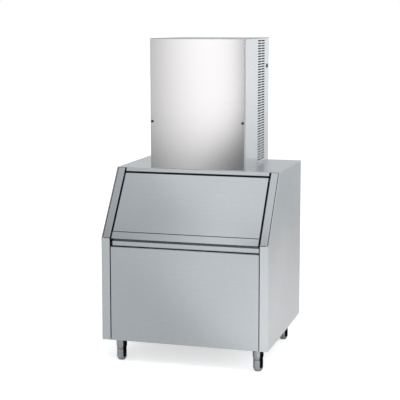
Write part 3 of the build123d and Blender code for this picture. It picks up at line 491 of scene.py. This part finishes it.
def zinc_sheet():
    """Grey zinc with flat crystals a few millimetres wide."""
    material, tree, output = new_material("zinc_sheet")
    surface = shader(tree, output, metallic=1.0)
    place = tree.nodes.new("ShaderNodeTexCoord")
    crystals = tree.nodes.new("ShaderNodeTexVoronoi")
    crystals.inputs["Scale"].default_value = 110
    tree.links.new(place.outputs["Object"], crystals.inputs["Vector"])
    tone = tree.nodes.new("ShaderNodeSeparateColor")
    tree.links.new(crystals.outputs["Color"], tone.inputs[0])
    base = blend_colour(tree, tone.outputs[0], (0.5, 0.51, 0.52), (0.6, 0.61, 0.62))
    tree.links.new(base, surface.inputs["Base Color"])
    tree.links.new(spread(tree, tone.outputs[1], 0.34, 0.46, 0, 1), surface.inputs["Roughness"])
    edge = place_group(tree, soft_edge, radius=0.0006)
    tree.links.new(edge.outputs["Normal"], surface.inputs["Normal"])
    return material


zinc = zinc_sheet()
wear(["bin_back_panel", "bin_base_pan", "head_base", "head_back_panel", "head_partition"], zinc)
wear(["fan_duct", "motor_bracket", "curtain_brackets"], zinc)


# Plastics and rubber
# The tub, the door's inner shell and the frame behind it are moulded, with a fine grain.

def moulded(name, colour, rough, grain_size=0.0009, depth=0.00003, coat=0.0):
    """Moulded plastic or rubber with a fine skin and slight changes of tone."""
    material, tree, output = new_material(name)
    surface = shader(tree, output, rough=rough)
    surface.inputs["Coat Weight"].default_value = coat
    place = tree.nodes.new("ShaderNodeTexCoord")
    skin = tree.nodes.new("ShaderNodeTexNoise")
    skin.inputs["Scale"].default_value = 1 / grain_size
    skin.inputs["Detail"].default_value = 2
    tone = tree.nodes.new("ShaderNodeTexNoise")
    tone.inputs["Scale"].default_value = 9
    tree.links.new(place.outputs["Object"], skin.inputs["Vector"])
    tree.links.new(place.outputs["Object"], tone.inputs["Vector"])
    darker = tuple(0.86 * part for part in colour)
    base = blend_colour(tree, spread(tree, tone.outputs["Fac"], 0, 1), darker, colour)
    tree.links.new(base, surface.inputs["Base Color"])
    sheen = spread(tree, skin.outputs["Fac"], rough - 0.05, rough + 0.06)
    tree.links.new(sheen, surface.inputs["Roughness"])
    edge = place_group(tree, soft_edge, radius=0.0008)
    relief = bump(tree, skin.outputs["Fac"], depth, edge.outputs["Normal"])
    tree.links.new(relief, surface.inputs["Normal"])
    return material


tub_white = moulded("tub_white", (0.78, 0.8, 0.82), 0.42)
# Painted shade: the door frame behind the gaps round the door is made near black, so the gaps read as deep
# shade.
door_gap_shade_black = moulded("door_gap_shade_black", (0.03, 0.031, 0.033), 0.5)
shell_white = moulded("shell_white", (0.74, 0.76, 0.77), 0.4)
black_rubber = moulded("black_rubber", (0.02, 0.02, 0.021), 0.62, 0.0006, 0.00005)
black_plastic = moulded("black_plastic", (0.018, 0.018, 0.019), 0.38)
grey_plastic = moulded("grey_plastic", (0.26, 0.27, 0.29), 0.46)
# Painted shade: the foam is made near black, so the grooves beside the trims where it shows read as shade.
groove_shade_foam = moulded("groove_shade_foam", (0.035, 0.036, 0.038), 0.85, 0.0025, 0.0006)
wear(["bin_liner", "water_sump"], tub_white)
wear(["door_frame"], door_gap_shade_black)
wear(["door_inner_panel", "bin_drain", "inlet_valve", "fill_tube"], shell_white)
wear(["door_gasket", "pump_hose", "compressor_grommets"], black_rubber)
wear(["door_bushes", "switch_bezel", "switch_rocker", "water_pump", "fan", "cable_gland"], black_plastic)
wear(["ice_chute", "water_distributor", "control_box"], grey_plastic)
wear(["bin_foam", "door_foam"], groove_shade_foam)


# Ice curtain
# A clear bent sheet of plastic that hangs in front of the cube cells.

def clear_sheet():
    """Clear plastic, a little frosted by lime."""
    material, tree, output = new_material("clear_sheet")
    surface = shader(tree, output, rough=0.12)
    surface.inputs["Base Color"].default_value = (0.86, 0.92, 0.96, 1)
    surface.inputs["Transmission Weight"].default_value = 0.9
    surface.inputs["IOR"].default_value = 1.49
    place = tree.nodes.new("ShaderNodeTexCoord")
    lime = tree.nodes.new("ShaderNodeTexNoise")
    lime.inputs["Scale"].default_value = 24
    lime.inputs["Detail"].default_value = 4
    tree.links.new(place.outputs["Object"], lime.inputs["Vector"])
    tree.links.new(spread(tree, lime.outputs["Fac"], 0.08, 0.3), surface.inputs["Roughness"])
    return material


wear(["ice_curtain"], clear_sheet())


# Feet, pins and small screws
# Turned stainless steel, polished, with fine turning lines round the axis; the hinge pins are black
# enamel.

def turned_steel():
    """Polished steel with turning lines across its height."""
    material, tree, output = new_material("turned_steel")
    surface = shader(tree, output, metallic=1.0)
    lines = place_group(tree, grain, stretch=(30, 30, 1600), cloud_size=0.05)
    clouds = spread(tree, lines.outputs["Clouds"], 0, 1)
    base = blend_colour(tree, clouds, (0.33, 0.34, 0.35), (0.4, 0.41, 0.42))
    tree.links.new(base, surface.inputs["Base Color"])
    tree.links.new(spread(tree, lines.outputs["Lines"], 0.12, 0.2), surface.inputs["Roughness"])
    edge = place_group(tree, soft_edge, radius=0.0006)
    relief = bump(tree, lines.outputs["Lines"], 0.00003, edge.outputs["Normal"])
    tree.links.new(relief, surface.inputs["Normal"])
    return material


def black_paint():
    """Thick black enamel with the dimples of a sprayed coat."""
    material, tree, output = new_material("black_enamel")
    surface = shader(tree, output, rough=0.3)
    place = tree.nodes.new("ShaderNodeTexCoord")
    dimples = tree.nodes.new("ShaderNodeTexNoise")
    dimples.inputs["Scale"].default_value = 260
    tree.links.new(place.outputs["Object"], dimples.inputs["Vector"])
    base = blend_colour(tree, dimples.outputs["Fac"], (0.012, 0.012, 0.013), (0.03, 0.03, 0.032))
    tree.links.new(base, surface.inputs["Base Color"])
    tree.links.new(bump(tree, dimples.outputs["Fac"], 0.0001), surface.inputs["Normal"])
    return material


polished = turned_steel()
enamel = black_paint()
feet = ["foot_front_left", "foot_front_right", "foot_rear_left", "foot_rear_right"]
wear(feet + ["foot_sleeves", "panel_screws", "curtain_rod"], polished)
wear(["door_hinge_pins"], enamel)


# Thumb screws in the front panel
# Black moulded heads with a ridged rim and a shank, one on each side.

def input_value(modifier, name, value):
    """Sets a tree's named input by its socket's identifier."""
    for item in modifier.node_group.interface.items_tree:
        if item.item_type == "SOCKET" and item.in_out == "INPUT" and item.name == name:
            modifier[item.identifier] = value


def geometry_tree(name, inputs):
    """An empty geometry tree with a material input and these, given as (type, name, value)."""
    tree = bpy.data.node_groups.new(name, "GeometryNodeTree")
    tree.interface.new_socket("Geometry", in_out="OUTPUT", socket_type="NodeSocketGeometry")
    tree.interface.new_socket("Material", in_out="INPUT", socket_type="NodeSocketMaterial")
    for kind, socket, value in inputs:
        made = tree.interface.new_socket(socket, in_out="INPUT", socket_type=kind)
        made.default_value = value
    return tree, tree.nodes.new("NodeGroupInput"), tree.nodes.new("NodeGroupOutput")


def finished_mesh(name, tree, material, **values):
    """Runs a geometry tree with these values and returns the plain mesh."""
    carrier = mesh_object(name + "_carrier", bpy.data.meshes.new(name + "_carrier"))
    modifier = carrier.modifiers.new("tree", "NODES")
    modifier.node_group = tree
    for key, value in values.items():
        input_value(modifier, key.replace("_", " ").title(), value)
    input_value(modifier, "Material", material)
    shown = carrier.evaluated_get(bpy.context.evaluated_depsgraph_get())
    mesh = bpy.data.meshes.new_from_object(shown)
    bpy.data.objects.remove(carrier)
    mesh.name = name
    return mesh


def knob_tree():
    """A round head along Z with ridges round its rim and a shank behind it."""
    inputs = [
        ("NodeSocketFloat", "Radius", 0.007),
        ("NodeSocketFloat", "Height", 0.004),
        ("NodeSocketFloat", "Shank", 0.03),
        ("NodeSocketInt", "Ridges", 28),
    ]
    tree, given, result = geometry_tree("ridged_knob", inputs)
    link = tree.links.new

    def scaled(socket, factor):
        node = tree.nodes.new("ShaderNodeMath")
        node.operation = "MULTIPLY"
        node.inputs[1].default_value = factor
        link(given.outputs[socket], node.inputs[0])
        return node.outputs[0]

    core = tree.nodes.new("GeometryNodeMeshCylinder")
    core.inputs["Vertices"].default_value = 56
    link(scaled("Radius", 0.93), core.inputs["Radius"])
    link(given.outputs["Height"], core.inputs["Depth"])
    shank = tree.nodes.new("GeometryNodeMeshCylinder")
    shank.inputs["Vertices"].default_value = 24
    link(scaled("Radius", 0.28), shank.inputs["Radius"])
    link(given.outputs["Shank"], shank.inputs["Depth"])
    behind = tree.nodes.new("ShaderNodeCombineXYZ")
    link(scaled("Shank", -0.5), behind.inputs["Z"])
    set_back = tree.nodes.new("GeometryNodeTransform")
    link(shank.outputs["Mesh"], set_back.inputs["Geometry"])
    link(behind.outputs[0], set_back.inputs["Translation"])
    ring = tree.nodes.new("GeometryNodeMeshCircle")
    link(given.outputs["Ridges"], ring.inputs["Vertices"])
    link(scaled("Radius", 0.93), ring.inputs["Radius"])
    ridge = tree.nodes.new("GeometryNodeMeshCylinder")
    ridge.inputs["Vertices"].default_value = 8
    link(scaled("Radius", 0.065), ridge.inputs["Radius"])
    link(scaled("Height", 0.86), ridge.inputs["Depth"])
    copies = tree.nodes.new("GeometryNodeInstanceOnPoints")
    link(ring.outputs["Mesh"], copies.inputs["Points"])
    link(ridge.outputs["Mesh"], copies.inputs["Instance"])
    join = tree.nodes.new("GeometryNodeJoinGeometry")
    for part in (core.outputs["Mesh"], set_back.outputs["Geometry"], copies.outputs["Instances"]):
        link(part, join.inputs[0])
    real = tree.nodes.new("GeometryNodeRealizeInstances")
    link(join.outputs[0], real.inputs[0])
    finish = tree.nodes.new("GeometryNodeSetMaterial")
    link(real.outputs[0], finish.inputs["Geometry"])
    link(given.outputs["Material"], finish.inputs["Material"])
    link(finish.outputs[0], result.inputs[0])
    return tree


def thumb_screws():
    """Both screws in one mesh, in the place of the CAD node."""
    low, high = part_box("front_screws")
    radius = (high.z - low.z) / 2
    head_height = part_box("head_front_panel")[0].y - low.y
    shank = high.y - low.y - head_height / 2
    sizes = {"radius": radius, "height": head_height, "shank": shank}
    mesh = finished_mesh("thumb_screw", knob_tree(), black_plastic, **sizes)
    forward = Matrix.Rotation(math.pi / 2, 4, "X")
    both = bmesh.new()
    for x in (low.x + radius, high.x - radius):
        centre = (x, low.y + head_height / 2, low.z + radius)
        one = mesh.copy()
        one.transform(Matrix.Translation(centre) @ forward)
        both.from_mesh(one)
    joined = bpy.data.meshes.new("front_screw_heads")
    both.to_mesh(joined)
    joined.materials.append(black_plastic)
    piece = mesh_object("front_screw_heads", joined)
    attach(piece, "cabinet")
    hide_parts("front_screws")


thumb_screws()


# Refrigeration parts inside
# Tinned cube cells, copper pipes, an aluminium condenser and black painted machines.

def tinned():
    """Tin on copper, dull and slightly yellow."""
    material, tree, output = new_material("tinned_copper")
    surface = shader(tree, output, metallic=1.0)
    lines = place_group(tree, grain, stretch=(60, 60, 60), cloud_size=0.08)
    clouds = spread(tree, lines.outputs["Clouds"], 0, 1)
    base = blend_colour(tree, clouds, (0.6, 0.58, 0.53), (0.74, 0.73, 0.7))
    tree.links.new(base, surface.inputs["Base Color"])
    tree.links.new(spread(tree, lines.outputs["Lines"], 0.26, 0.42), surface.inputs["Roughness"])
    return material


def copper():
    """Drawn copper pipe with darker, browner patches."""
    material, tree, output = new_material("drawn_copper")
    surface = shader(tree, output, metallic=1.0)
    lines = place_group(tree, grain, stretch=(90, 90, 90), cloud_size=0.06)
    clouds = spread(tree, lines.outputs["Clouds"], 0, 1)
    base = blend_colour(tree, clouds, (0.48, 0.2, 0.11), (0.8, 0.4, 0.25))
    tree.links.new(base, surface.inputs["Base Color"])
    tree.links.new(spread(tree, lines.outputs["Lines"], 0.2, 0.36), surface.inputs["Roughness"])
    return material


fins = brushed_steel("fin_aluminium", (500, 500, 30), (0.66, 0.67, 0.68), (0.8, 0.81, 0.82), 0.32, 0.1)
copper_pipe = copper()
wear(["evaporator"], tinned())
wear(["evaporator_coil", "suction_pipe", "discharge_pipe", "liquid_pipes", "filter_drier"], copper_pipe)
wear(["condenser"], fins)
wear(["compressor", "fan_motor"], enamel)
